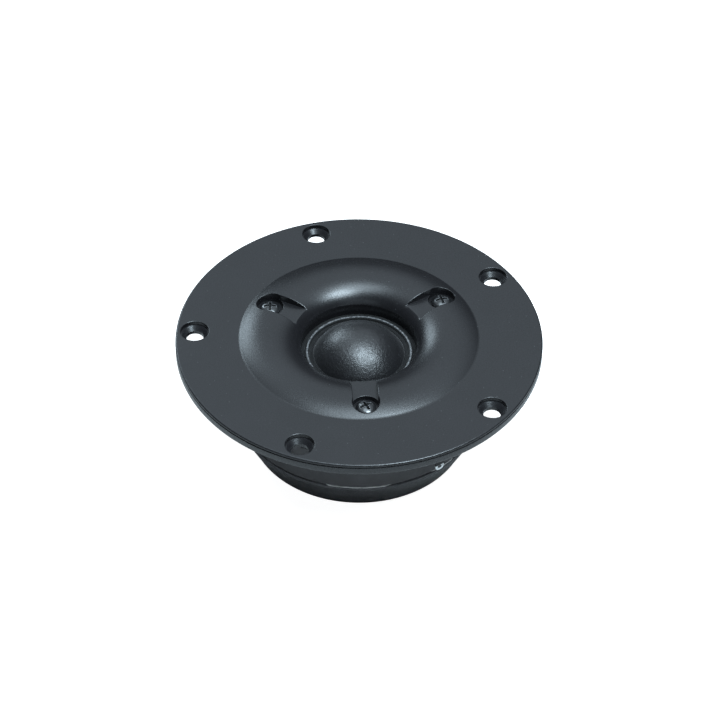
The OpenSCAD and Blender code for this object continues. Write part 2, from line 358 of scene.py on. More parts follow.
class Wires:
    """Short calls for the nodes and links of one tree."""

    def __init__(self, tree):
        self.tree = tree

    def node(self, kind, settings=None, **values):
        """Adds a node; an input's name is written with _ for each space."""
        made = self.tree.nodes.new(kind)
        for key, value in (settings or {}).items():
            setattr(made, key, value)
        for key, value in values.items():
            self.feed(made.inputs[key.replace("_", " ")], value)
        return made

    def feed(self, socket, value):
        """Links a node or a socket to an input, or writes a constant on it."""
        if isinstance(value, bpy.types.Node):
            value = value.outputs[0]
        if isinstance(value, bpy.types.NodeSocket):
            self.tree.links.new(value, socket)
        else:
            socket.default_value = value

    def math(self, operation, *values, clamp=False):
        made = self.node("ShaderNodeMath", {"operation": operation, "use_clamp": clamp})
        for socket, value in zip(made.inputs, values):
            self.feed(socket, value)
        return made

    def add(self, a, b):
        return self.math("ADD", a, b)

    def times(self, a, b):
        return self.math("MULTIPLY", a, b)

    def coordinates(self, kind="Object"):
        return self.node("ShaderNodeTexCoord").outputs[kind]

    def noise(self, scale, detail=2.0, roughness=0.5, where=None):
        return self.node(
            "ShaderNodeTexNoise", Vector=where or self.coordinates(), Scale=scale, Detail=detail,
            Roughness=roughness,
        ).outputs[0]

    def cells(self, scale):
        return self.node("ShaderNodeTexVoronoi", Vector=self.coordinates(), Scale=scale)

    def attribute(self, name):
        return self.node("ShaderNodeAttribute", {"attribute_name": name}).outputs["Fac"]

    def ramp(self, value, low, high, to_low=0.0, to_high=1.0):
        return self.node(
            "ShaderNodeMapRange", {"clamp": True}, Value=value, From_Min=low, From_Max=high,
            To_Min=to_low, To_Max=to_high,
        )


SOCKETS = {"Geometry": "NodeSocketGeometry", "Count": "NodeSocketInt", "Segments": "NodeSocketInt"}
GROUPS = {}


class Group(Wires):
    """A node group under construction: given(label) is one of its inputs."""

    def __init__(self, kind, name, labels):
        super().__init__(bpy.data.node_groups.new(name, kind))
        self.sockets("INPUT", labels)
        self.inputs = self.node("NodeGroupInput")

    def sockets(self, side, labels):
        for label in labels:
            kind = SOCKETS.get(label, "NodeSocketFloat")
            self.tree.interface.new_socket(label, in_out=side, socket_type=kind)

    def given(self, label):
        return self.inputs.outputs[label]

    def end(self, results):
        self.sockets("OUTPUT", results)
        out = self.node("NodeGroupOutput")
        for label, value in results.items():
            self.feed(out.inputs[label], value)
        return self.tree


def node_group(kind, labels):
    """Keeps the function that follows as the maker of a node group with these inputs."""

    def keep(fill):
        def make():
            group = Group(kind, fill.__name__, labels.split())
            return group.end(fill(group))

        GROUPS[fill.__name__] = make
        return make

    return keep


def group_named(name):
    return bpy.data.node_groups.get(name) or GROUPS[name]()


# ---------------------------------------------------------------- geometry nodes


@node_group("GeometryNodeTree", "Geometry Radius Segments Weld")
def turning(t):
    """Turns the outline that the mesh's edges draw, x outwards and y up, round the Z axis."""
    outline = t.node("GeometryNodeMeshToCurve", Mesh=t.given("Geometry"))
    path = t.node(
        "GeometryNodeCurvePrimitiveCircle", Resolution=t.given("Segments"), Radius=t.given("Radius")
    )
    upright = t.node("GeometryNodeSetCurveNormal", {"mode": "Z_UP"}, Curve=path)
    skin = t.node("GeometryNodeCurveToMesh", Curve=upright, Profile_Curve=outline)
    return {"Geometry": t.node("GeometryNodeMergeByDistance", Geometry=skin, Distance=t.given("Weld"))}


@node_group("GeometryNodeTree", "Geometry Count Radius Start")
def round_pattern(t):
    """Repeats the mesh at equal angles round the Z axis."""
    points = t.node("GeometryNodePoints", Count=t.given("Count"))
    share = t.math("DIVIDE", t.node("GeometryNodeInputIndex"), t.given("Count"))
    turn = t.add(t.times(share, TAU), t.given("Start"))
    x = t.times(t.math("COSINE", turn), t.given("Radius"))
    y = t.times(t.math("SINE", turn), t.given("Radius"))
    spot = t.node("ShaderNodeCombineXYZ", X=x, Y=y)
    placed = t.node("GeometryNodeSetPosition", Geometry=points, Position=spot)
    copies = t.node(
        "GeometryNodeInstanceOnPoints", Points=placed, Instance=t.given("Geometry"),
        Rotation=t.node("ShaderNodeCombineXYZ", Z=turn),
    )
    return {"Geometry": t.node("GeometryNodeRealizeInstances", Geometry=copies)}


@node_group("GeometryNodeTree", "Geometry Turns Radius Height Foot Wire")
def winding(t):
    """Winds a wire into a coil on the Z axis."""
    helix = t.node(
        "GeometryNodeCurveSpiral", Resolution=72, Rotations=t.given("Turns"),
        Start_Radius=t.given("Radius"), End_Radius=t.given("Radius"), Height=t.given("Height"),
    )
    ring = t.node("GeometryNodeCurvePrimitiveCircle", Resolution=7, Radius=t.given("Wire"))
    wire = t.node("GeometryNodeCurveToMesh", Curve=helix, Profile_Curve=ring, Fill_Caps=True)
    lift = t.node("ShaderNodeCombineXYZ", Z=t.given("Foot"))
    return {"Geometry": t.node("GeometryNodeTransform", Geometry=wire, Translation=lift)}


@node_group("GeometryNodeTree", "Geometry Radius Height Thickness Gaps")
def glue_bead(t):
    """A thin bead of glue round a seam, of uneven thickness and broken in places."""
    ring = t.node("GeometryNodeCurvePrimitiveCircle", Resolution=900, Radius=t.given("Radius"))
    slow = t.node("ShaderNodeTexNoise", Scale=90.0, Detail=3.0)
    wander = t.times(t.math("SUBTRACT", slow, 0.5), t.given("Thickness"))
    lift = t.node("ShaderNodeCombineXYZ", Z=t.add(wander, t.given("Height")))
    raised = t.node("GeometryNodeSetPosition", Geometry=ring, Offset=lift)
    swell = t.node("ShaderNodeTexNoise", Scale=55.0, Detail=2.0)
    width = t.ramp(swell, t.given("Gaps"), 0.75, 0.25, 1.0)
    sized = t.node("GeometryNodeSetCurveRadius", Curve=raised, Radius=width)
    bare = t.math("LESS_THAN", swell, t.given("Gaps"))
    broken = t.node("GeometryNodeDeleteGeometry", {"domain": "POINT"}, Geometry=sized, Selection=bare)
    section = t.node("GeometryNodeCurvePrimitiveCircle", Resolution=8, Radius=t.given("Thickness"))
    bead = t.node("GeometryNodeCurveToMesh", Curve=broken, Profile_Curve=section, Fill_Caps=True)
    return {"Geometry": bead}


def plain_mesh(name, seed):
    """The finished mesh of a seed, a curve or an object with nodes, which is then removed."""
    graph = bpy.context.evaluated_depsgraph_get()
    mesh = bpy.data.meshes.new_from_object(seed.evaluated_get(graph), depsgraph=graph)
    mesh.name = name
    bpy.data.objects.remove(seed)
    return mesh


def grow(name, mesh, group, sharp_degrees=38, weld=0.0, **values):
    """Runs a geometry node group over a mesh, or over nothing, and returns the mesh it makes."""
    seed = link(name + "_seed", mesh or bpy.data.meshes.new(name + "_seed"))
    modifier = seed.modifiers.new(group, "NODES")
    modifier.node_group = group_named(group)
    for socket in modifier.node_group.interface.items_tree:
        if socket.in_out == "INPUT" and socket.name in values:
            modifier[socket.identifier] = values[socket.name]
    made = plain_mesh(name, seed)
    soften(made, sharp_degrees, weld)
    return made


def turned(name, profile, segments=256, closed=True):
    """A turned mesh from an outline of (radius, height) pairs in millimetres."""
    base, weld = 10 * MM, 0.001 * MM
    mesh = bpy.data.meshes.new(name + "_outline")
    count = len(profile)
    edges = [(i, (i + 1) % count) for i in range(count if closed else count - 1)]
    mesh.from_pydata([(r * MM - base, -z * MM, 0) for r, z in profile], edges, [])
    return grow(name, mesh, "turning", weld=weld, Radius=base, Segments=segments, Weld=weld)


# ---------------------------------------------------------------- shader groups


@node_group("ShaderNodeTree", "Scale Patch")
def moulded_grain(w):
    """Fine moulded texture: a height and a slow patchy mask."""
    fine = w.noise(w.given("Scale"), 3.0, 0.6)
    pits = w.cells(w.given("Scale"))
    return {"Height": w.add(fine, w.times(pits, 0.4)), "Patches": w.noise(w.given("Patch"), 4.0, 0.55)}


@node_group("ShaderNodeTree", "Scale Amount")
def dust(w):
    """Pale specks of dust: few, small and uneven."""
    cells = w.cells(w.given("Scale"))
    near = w.ramp(cells.outputs["Distance"], 0.0, 0.16, 1.0, 0.0)
    pick = w.node("ShaderNodeSeparateColor", Color=cells.outputs["Color"])
    level = w.math("SUBTRACT", 1.0, w.times(w.given("Amount"), 0.12))
    return {"Mask": w.times(near, w.math("GREATER_THAN", pick, level))}


@node_group("ShaderNodeTree", "Scale Amount")
def edge_wear(w):
    """Rubbed edges, which on moulded plastic are also a painted highlight along the rounded edges, from the
    piece's own edge attribute broken up by noise.
    """
    rough = w.ramp(w.noise(w.given("Scale"), 4.0, 0.6), 0.35, 0.7)
    mask = w.times(w.attribute("edge"), rough)
    return {"Mask": w.math("MULTIPLY", mask, w.given("Amount"), clamp=True)}


@node_group("ShaderNodeTree", "Threads")
def weave(w):
    """Plain weave of cloth seen along Z, flooded with coating."""
    spot = w.node("ShaderNodeSeparateXYZ", Vector=w.coordinates())
    warp, weft = (w.times(spot.outputs[i], w.given("Threads")) for i in (0, 1))
    over = w.times(w.math("SINE", warp), w.math("SINE", weft))
    ribs = [w.math("ABSOLUTE", w.math("COSINE", thread)) for thread in (warp, weft)]
    return {"Height": w.add(w.times(over, 0.35), w.times(w.math("MAXIMUM", *ribs), 0.5))}


@node_group("ShaderNodeTree", "Scale")
def lathe_rings(w):
    """Fine rings that a lathe or a grinding wheel leaves round the Z axis."""
    spot = w.node("ShaderNodeSeparateXYZ", Vector=w.coordinates())
    x2, y2 = (w.math("POWER", spot.outputs[i], 2.0) for i in (0, 1))
    rings = w.node("ShaderNodeCombineXYZ", X=w.math("SQRT", w.add(x2, y2)), Y=spot.outputs[2])
    return {"Height": w.noise(w.given("Scale"), 2.0, 0.5, rings.outputs[0])}


# ---------------------------------------------------------------- materials


class Finish(Wires):
    """A material under construction, round one Principled shader."""

    def __init__(self, name, base, **plain):
        self.material = bpy.data.materials.new(name)
        self.material.use_nodes = True
        super().__init__(self.material.node_tree)
        self.shader = self.tree.nodes["Principled BSDF"]
        self.base = base
        self.material.diffuse_color = (*base, 1)
        self.set(Base_Color=(*base, 1), **plain)

    def set(self, **sockets):
        """Feeds the shader's inputs, with a link or with a constant."""
        for key, value in sockets.items():
            self.feed(self.shader.inputs[key.replace("_", " ")], value)

    def group(self, name, **values):
        return self.node("ShaderNodeGroup", {"node_tree": group_named(name)}, **values)

    def mix(self, factor, first, second):
        """A colour between two, by a mask."""
        made = self.node("ShaderNodeMix", {"data_type": "RGBA", "clamp_factor": True})
        for index, value in ((0, factor), (6, first), (7, second)):
            self.feed(made.inputs[index], value)
        return made.outputs[2]

    def tint(self, factor, low, high):
        """The base colour made darker and lighter by a mask."""
        dark, light = ((*[min(1, c * level) for c in self.base], 1) for level in (low, high))
        return self.mix(factor, dark, light)

    def bump(self, height, strength, distance_mm, under=None):
        made = self.node(
            "ShaderNodeBump", Height=height, Strength=strength, Distance=distance_mm * MM
        )
        if under is not None:
            self.feed(made.inputs["Normal"], under)
        return made


def moulded_plastic(name, base, roughness, grain, specular=0.5):
    """Moulded plastic with a spark-eroded texture, slow patches, dust, and rubbed edges lightened also as a
    painted edge highlight.
    """
    f = Finish(name, base, Specular_IOR_Level=specular)
    texture = f.group("moulded_grain", Scale=3800.0, Patch=95.0)
    patches = f.ramp(texture.outputs["Patches"], 0.3, 0.7)
    edge_wear_and_highlight_mask = f.group("edge_wear", Scale=700.0, Amount=0.55)
    specks = f.group("dust", Scale=1050.0, Amount=0.7)
    speckle = f.ramp(f.noise(2300.0, 2.0, 0.7), 0.3, 0.7)
    shade = f.mix(speckle, f.tint(patches, 0.55, 0.75), f.tint(patches, 1.25, 1.5))
    # Convex edges lightened: rubbed wear, and a painted highlight along the rounded edges.
    worn_and_edge_lit = f.mix(edge_wear_and_highlight_mask, shade, (*[min(1, c * 2.6 + 0.01) for c in base], 1))
    f.set(Base_Color=f.mix(f.times(specks, 0.22), worn_and_edge_lit, (0.35, 0.36, 0.37, 1)))
    even = f.ramp(speckle, 0, 1, roughness + 0.05, roughness - 0.05)
    f.set(Roughness=f.add(even, f.times(edge_wear_and_highlight_mask, -0.12)))
    f.set(Normal=f.bump(texture.outputs["Height"], grain, 0.04))


def coated_cloth(name, base, roughness, flood, bead=False):
    """Cloth with a tacky coating: weave, uneven coating and specks; on a roll, a painted highlight along the
    crest and the cloth off the crest painted darker.
    """
    specular = 0.3 if bead else 0.6
    f = Finish(
        name, base, Specular_IOR_Level=specular, Coat_Roughness=0.28, Sheen_Roughness=0.4,
        Sheen_Weight=0.08,
    )
    patches = f.ramp(f.noise(260.0, 5.0, 0.6), 0.36, 0.66)
    specks = f.group("dust", Scale=1700.0, Amount=1.9)
    shade = f.mix(f.times(specks, 0.5), f.tint(patches, 0.75, 1.5), (0.3, 0.31, 0.32, 1))
    rough = f.ramp(patches, 0, 1, roughness + 0.07, roughness - 0.06)
    if bead:
        # On a roll: a painted highlight along the crest, lighter and broken by noise, and the rest of the
        # surround tinted darker.
        crest_highlight_mask = f.attribute("roll")
        broken = f.ramp(f.noise(1300.0, 3.0, 0.7), 0.4, 0.6)
        painted_crest_highlight = f.mix(broken, (0.05, 0.05, 0.052, 1), (0.24, 0.24, 0.245, 1))
        rough = f.add(rough, f.times(f.math("SUBTRACT", 1.0, crest_highlight_mask), 0.45))
        shade = f.mix(crest_highlight_mask, f.tint(patches, 0.3, 0.5), f.mix(0.7, shade, painted_crest_highlight))
    else:
        f.set(Coat_Weight=f.ramp(patches, 0, 1, 0.05, 0.3))
    f.set(Base_Color=shade, Roughness=rough)
    cloth = f.bump(f.group("weave", Threads=9500.0).outputs["Height"], flood, 0.03)
    f.set(Normal=f.bump(f.noise(1150.0, 4.0, 0.65), 0.9, 0.16, cloth))


def metal(name, base, roughness, metallic=1.0, rings=None, painted_shade_above_eye=False):
    """Metal with faint stains, optional lathe rings, and optionally a painted shade above its eye, dark and
    rough.
    """
    f = Finish(name, base, Metallic=metallic)
    stains = f.ramp(f.noise(420.0, 4.0, 0.6), 0.3, 0.7)
    shade = f.tint(stains, 0.82, 1.1)
    rough = f.ramp(stains, 0, 1, roughness + 0.06, roughness - 0.05)
    if painted_shade_above_eye:
        # Above the eye the tag is painted dark with a ragged edge: painted shade over the tag's upper part.
        ragged_shade_line = f.add(f.attribute("above_eye"), f.times(f.noise(900.0), 0.4))
        bare = f.ramp(ragged_shade_line, 0.35, 0.75)
        shade = f.mix(bare, shade, (0.03, 0.028, 0.028, 1))
        rough = f.add(rough, f.times(bare, 0.4))
    f.set(Base_Color=shade, Roughness=rough)
    height = f.group("lathe_rings", Scale=rings) if rings else f.noise(2600.0, 3.0, 0.6)
    f.set(Normal=f.bump(height, 0.18, 0.02))


def blackened(name, base):
    """Blackened steel of a screw: glossy, dark, rubbed bright on its edges, with painted shade, near black,
    in its cross recess.
    """
    f = Finish(name, base, Specular_IOR_Level=0.6, Coat_Weight=0.2, Coat_Roughness=0.2)
    stains = f.ramp(f.noise(900.0, 3.0, 0.5), 0.35, 0.65)
    rubbed = f.group("edge_wear", Scale=2200.0, Amount=0.8)
    painted_recess_shade = f.attribute("recess")
    shade = f.mix(rubbed, f.tint(stains, 0.5, 1.1), (0.3, 0.3, 0.31, 1))
    # The cross recess is painted near black and rough: painted shade.
    f.set(Base_Color=f.mix(painted_recess_shade, shade, (0.001, 0.001, 0.001, 1)))
    f.set(Roughness=f.math("MAXIMUM", f.ramp(stains, 0, 1, 0.3, 0.2), f.times(painted_recess_shade, 0.95)))
    f.set(Normal=f.bump(f.noise(1500.0, 2.0, 0.5), 0.12, 0.01))


def ferrite(name, base):
    """Ground ferrite: dark, matt, with pits and faint grinding rings."""
    f = Finish(name, base, Specular_IOR_Level=0.35)
    dips = f.ramp(f.cells(1400.0).outputs["Distance"], 0.0, 0.25)
    stains = f.ramp(f.noise(140.0, 5.0, 0.6), 0.3, 0.7)
    f.set(Base_Color=f.tint(stains, 0.9, 1.15), Roughness=f.ramp(stains, 0, 1, 0.57, 0.49))
    rings = f.bump(f.group("lathe_rings", Scale=5200.0), 0.25, 0.03)
    f.set(Normal=f.bump(dips, 0.3, 0.04, rings))


def felt(name, base):
    """Pressed felt: matted fibres, soft and rough."""
    f = Finish(
        name, base, Roughness=0.95, Specular_IOR_Level=0.2, Sheen_Roughness=0.6, Sheen_Weight=0.3
    )
    fibres = f.noise(1900.0, 6.0, 0.75)
    clumps = f.ramp(f.noise(320.0, 4.0, 0.6), 0.3, 0.7)
    f.set(Base_Color=f.mix(clumps, f.tint(fibres, 0.55, 1.1), f.tint(fibres, 0.8, 1.4)))
    f.set(Normal=f.bump(fibres, 0.8, 0.1))


def simple_finish(name, base, roughness, coat=0.0, scale=1600.0):
    """A small part's plain finish, with uneven tone and a faint texture."""
    f = Finish(name, base, Coat_Weight=coat, Coat_Roughness=0.2)
    patches = f.ramp(f.noise(scale / 5, 4.0, 0.6), 0.3, 0.7)
    f.set(Base_Color=f.tint(patches, 0.75, 1.25))
    f.set(Roughness=f.ramp(patches, 0, 1, roughness + 0.06, roughness - 0.05))
    f.set(Normal=f.bump(f.noise(scale, 3.0, 0.6), 0.25, 0.03))


FINISHES = {
    "faceplate_plastic": (moulded_plastic, "plastic", 0.31, 0.3),
    "cup_plastic": (moulded_plastic, "cup", 0.36, 0.18, 0.4),
    "carrier_plastic": (moulded_plastic, "carrier", 0.5, 0.4),
    "dome_cloth": (coated_cloth, "cloth", 0.33, 0.35),
    # True: a painted highlight along the roll's crest, and darker cloth off the crest.
    "surround_cloth": (coated_cloth, "cloth", 0.3, 0.2, True),
    "black_screw": (blackened, "screw"),
    "plated_steel": (metal, "steel", 0.42, 0.6, 6000.0),
    "bright_steel": (metal, (0.5, 0.5, 0.49), 0.35, 1.0, 7000.0),
    # True: painted shade on the tag above its eye.
    "tinned_tag": (metal, "tin", 0.3, 0.45, None, True),
    "solder": (metal, (0.62, 0.62, 0.61), 0.22),
    "copper_sheet": (metal, "copper", 0.3, 1.0, 7000.0),
    "copper_wire": (metal, (0.45, 0.16, 0.07), 0.25, 0.9),
    "former_foil": (metal, (0.6, 0.6, 0.61), 0.3, 1.0, 9000.0),
    "ferrite": (ferrite, "ferrite"),
    "grey_felt": (felt, "felt"),
    "gasket_rubber": (simple_finish, (0.02, 0.02, 0.02), 0.8),
    "collar_paper": (simple_finish, (0.36, 0.24, 0.13), 0.85, 0.0, 2600.0),
    "glue": (simple_finish, (0.5, 0.48, 0.46), 0.4, 0.2),
}


def finish_of(slot):
    """The material of a slot, made once. A colour given by name is one of the settings."""
    name = "finish_" + slot
    if name not in bpy.data.materials:
        make, base, *look = FINISHES[slot]
        if isinstance(base, str):
            base = getattr(bpy.context.scene.tweeter_finish, base)
        make(name, base, *look)
    return bpy.data.materials[name]


# ---------------------------------------------------------------- faceplate


def carve(z, d, floor, rounding, draft=0.05):
    """Cuts a pocket with rounded rim and drafted wall: d is the distance outside its edge."""
    if d >= rounding or z <= floor:
        return z
    if d >= 0:
        return z - rounding + math.sqrt(max(0.0, rounding**2 - (rounding - d) ** 2))
    top = max(floor, z - rounding)
    return top + (floor - top) * min(1.0, -d / draft)


def spokes(count, radius):
    """Centres at equal angles on a circle, each with its direction outwards."""
    ways = [(math.cos(TAU * i / count), math.sin(TAU * i / count)) for i in range(count)]
    return [((radius * x, radius * y), (x, y)) for x, y in ways]


def turned_to(way, lines):
    """Lines drawn along X, turned to run along a direction."""
    return [[(x * way[0] - y * way[1], x * way[1] + y * way[0]) for x, y in line] for line in lines]


class FaceplateShape:
    """The faceplate's front and rear as heights over the plane, with their outlines, in mm."""

    ring_count = 320
    hole_count = 64
    draft = 0.05
    pocket_z = 2.1
    ledge = 0.35
    cone_depth = 1.1
    through = 1.7
    seal = 2.8
    edge_round = 0.5
    rear_edge = 0.4
    throat_ease = 0.15
    core_top = 1.0
    skirt = (33.2, 35.0)
    core = (21.5, 31.8)
    boss = 4.6
    rib_half = 0.6
    notch_half = 4.4
    notch_top = -1.4
    notch_reach = (32.2, 36.2)
    hole_ease = 0.2

    def __init__(self, sizes):
        for key in sizes.__annotations__:
            setattr(self, key, getattr(sizes, key) / MM)
        rise, run = self.ring_height, self.ring_foot - self.ring_crest
        self.ring_ball = (run * run + rise * rise) / (2 * rise)
        self.flange = CREST_HEIGHT - rise
        self.hole_r = HOLES["hole_r_mm"]
        self.mounts = spokes(HOLES["count"], HOLES["pcd_mm"] / 2)
        self.screws = spokes(SCREW_COUNT, self.screw_circle)
        self.ribs = [math.radians(15 + 30 * i) for i in range(12)]
        curve = [self.rounding * (1 - math.cos(math.radians(a))) for a in (15, 35, 60, 90)]
        self.rim = [-0.05, 0.0, *curve, self.rounding + 0.08, self.rounding + 0.3]

    def surface(self, r):
        """Height of the flange, the raised ring and the flare at radius r."""
        if r >= self.ring_foot:
            return self.flange
        if r >= self.ring_crest:
            ball = self.ring_ball
            return CREST_HEIGHT - ball + math.sqrt(ball * ball - (r - self.ring_crest) ** 2)
        share = min(1.0, (self.ring_crest - r) / self.flare_run)
        return CREST_HEIGHT - self.flare_depth * (1 - math.sqrt(1 - share * share))

    def channel_distance(self, x, y, out):
        """Distance outside a channel's straight sides, which run inwards from the pocket."""
        along = x * out[0] + y * out[1]
        across = abs(-x * out[1] + y * out[0]) - self.channel
        return across if 0 < along < self.screw_circle else 9.0

    def front(self, x, y):
        """Height of the front: its surface with channels, pockets and recesses cut in."""
        z = self.surface(math.hypot(x, y))
        for centre, out in self.screws:
            d = math.dist((x, y), centre)
            if d > 16:
                continue
            limit = min(self.rounding, 0.6 * max(0.0, z - self.flange))
            z = carve(z, self.channel_distance(x, y, out), self.flange, limit)
            z = carve(z, d - self.pocket, self.pocket_z, self.rounding * 0.8)
        floor, ledge = self.flange - self.recess_depth, self.recess - self.ledge
        for centre, _ in self.mounts:
            d = math.dist((x, y), centre)
            if d > self.recess + 1:
                continue
            z = carve(z, d - self.recess, floor, self.rounding)
            cone = (ledge - d) / (ledge - self.hole_r)
            if cone > 0:
                z = min(z, floor - self.cone_depth * min(1.0, cone))
        return z

    def step(self, d, low, high):
        """A height that rises from low to high along a drafted wall."""
        return low + (high - low) * min(1.0, max(0.0, d / self.draft))

    def rear(self, x, y):
        """Height of the rear: skirt, cored pockets between ribs, bosses and terminal notches."""
        r, turn = math.hypot(x, y), math.atan2(y, x)
        z = self.seat
        if r > self.skirt[0]:
            z = self.step(r - self.skirt[1], self.foot, 0.0)
        elif r > self.skirt[0] - self.draft:
            z = self.step(self.skirt[0] - r, self.foot, self.seat)
        inside = min(r - self.core[0], self.core[1] - r)
        for centre, _ in self.screws:
            inside = min(inside, math.dist((x, y), centre) - self.boss)
        for rib in self.ribs:
            if math.cos(turn - rib) > 0:
                inside = min(inside, abs(r * math.sin(turn - rib)) - self.rib_half)
        if inside > 0:
            z = self.step(inside, self.seat, self.core_top)
        near, far = self.notch_reach
        in_notch = min(self.notch_half - abs(x), r - near, far - r)
        if in_notch > 0:
            z = max(z, self.step(in_notch, z, self.notch_top))
        for centre, _ in self.mounts:
            d = math.dist((x, y), centre) - self.hole_r
            if d < self.hole_ease:
                z = max(z, self.hole_ease - d)
        return z

    def solid_at(self, x, y, low, high):
        """True where the plate has material: between two radii and outside every hole."""
        holes = [(c, self.hole_r) for c, _ in self.mounts] + [(c, self.through) for c, _ in self.screws]
        return low < math.hypot(x, y) < high and all(math.dist((x, y), c) > r for c, r in holes)

    def front_flat(self):
        """Outlines, lines and points of the front."""
        n, crest, foot = self.ring_count, self.ring_crest, self.ring_foot
        edge = self.outer - self.edge_round
        loops = [circle(r, n) for r in (self.throat, foot, edge)]
        lines, keep_off = [], []
        for c, out in self.screws:
            loops += [circle(self.pocket + d, 96, c) for d in self.rim]
            loops += [circle(self.through, self.hole_count, c), circle(self.seal, 48, c)]
            keep_off.append((c, self.pocket + 0.75))
            for d in self.rim:
                half = self.channel + d
                reach = math.sqrt(max(0.1, (self.pocket + d) ** 2 - half**2))
                start = self.screw_circle - reach + 0.02
                along = [start + (16.9 - start) * i / 24 for i in range(25)]
                lines += turned_to(out, [[(a, side) for a in along] for side in (-half, half)])
        for c, _ in self.mounts:
            ledge = self.recess - self.ledge
            loops += [circle(self.recess + d, 96, c) for d in self.rim]
            loops += [circle(r, self.hole_count, c) for r in (self.hole_r, ledge, (ledge + self.hole_r) / 2)]
            keep_off.append((c, self.recess + 0.8))
        flare = [crest - self.flare_run * math.sin(math.radians(3 * i)) for i in range(1, 24)]
        slope = [crest + (foot - crest) * i / 16 for i in range(16)]
        flat = [foot + 0.12, foot + 0.5, 35.5, 37.5, 39.5, 41.2, 43, 45, 47, 49, 50.5, edge - 0.25]
        points = []
        for r in flare + slope + flat:
            for p in circle(r, n):
                sides = [self.channel_distance(*p, out) for _, out in self.screws]
                on_side = r < self.screw_circle and any(-0.3 < side < 0.75 for side in sides)
                if not on_side and all(math.dist(p, c) >= reach for c, reach in keep_off):
                    points.append(p)
        return loops, lines, points

    def rear_flat(self):
        """Outlines, lines and points of the rear."""
        n, draft = self.ring_count, self.draft
        radii = [self.throat + self.throat_ease, self.outer - self.rear_edge]
        for r in self.skirt + self.core:
            inner = r in (self.skirt[0], self.core[1])
            radii += [r, r - draft if inner else r + draft]
        loops = [circle(r, n) for r in radii]
        for c, _ in self.screws:
            loops += [circle(r, 64, c) for r in (self.boss, self.boss + draft)]
            loops.append(circle(self.through, self.hole_count, c))
        for c, _ in self.mounts:
            loops += [circle(self.hole_r, self.hole_count, c), circle(self.hole_r + self.hole_ease, 64, c)]
        lines = []
        half = self.rib_half
        sides = (-half - draft, -half, half, half + draft)
        for a in self.ribs:
            along = [[(r, side) for r in (21.4, 24, 26.7, 29.3, 31.9)] for side in sides]
            lines += turned_to((math.cos(a), math.sin(a)), along)
        for side in (-1, 1):
            for half in (self.notch_half, self.notch_half - draft):
                for x in (-half, half):
                    lines.append([(x, side * y) for y in (31.8, 33, 34, 35.2, 36.4)])
        loops += [circle(self.notch_reach[0] + d, n) for d in (0, draft)]
        rings = [p for r in (18.5, 38, 42, 45, 48, 50.5) for p in circle(r, 160)]
        return loops, lines, [p for p in rings if self.solid_at(*p, 16, 52)]

    def mesh(self):
        sheet = Sheet()
        for outlines, height, low, high in (
            (self.front_flat(), self.front, self.throat, self.outer - self.edge_round),
            (self.rear_flat(), self.rear, self.throat + self.throat_ease, self.outer - self.rear_edge),
        ):
            flat, faces = triangulate(*outlines)
            sheet.lift(flat, faces, height, lambda x, y: self.solid_at(x, y, low, high))
        o, e, t = self.outer, self.edge_round, self.throat
        rim = arc((o - e, self.flange - e), e, e, 90, 0, 6)
        rim += [(o, 2.82), (o - 0.06, 2.74), (o - 0.25, 2.68), (o - 0.27, 2.55), (o - 0.25, 2.42),
                (o - 0.06, 2.36), (o, 2.28), (o, 0.55), (o - 0.1, 0.25), (o - self.rear_edge, 0.0)]
        sheet.strip(rim, self.ring_count)
        low = self.surface(t)
        wall = [(t, low), (t, low - 0.3), (t, -2.2), (t, -2.72), (t + 0.04, -2.85)]
        sheet.strip([*wall, (t + self.throat_ease, self.seat)], self.ring_count)
        top = self.flange - self.recess_depth - self.cone_depth
        for c, _ in self.mounts:
            sheet.strip([(self.hole_r, top), (self.hole_r, self.hole_ease)], self.hole_count, c)
        for c, _ in self.screws:
            sheet.strip([(self.through, self.pocket_z), (self.through, self.seat)], self.hole_count, c)
        return sheet.mesh("faceplate_shape", 33)

    outer, seat, foot = FLANGE_RADIUS, SEAT_HEIGHT, SKIRT_FOOT


class Builder:
    """An operator that builds one piece or one group of pieces."""

    def execute(self, context):
        self.build(context.scene)
        return {"FINISHED"}


class TWEETER_OT_faceplate(Builder, bpy.types.Operator):
    """Builds the moulded faceplate with its raised ring, recesses, pockets and channels"""

    bl_idname = "tweeter.faceplate"
    bl_label = "Faceplate"

    def build(self, scene):
        mesh = FaceplateShape(scene.tweeter_faceplate).mesh()
        paint_edges(mesh)
        place("moulded_faceplate", mesh, "faceplate_plastic", ["faceplate"])


# ---------------------------------------------------------------- screws


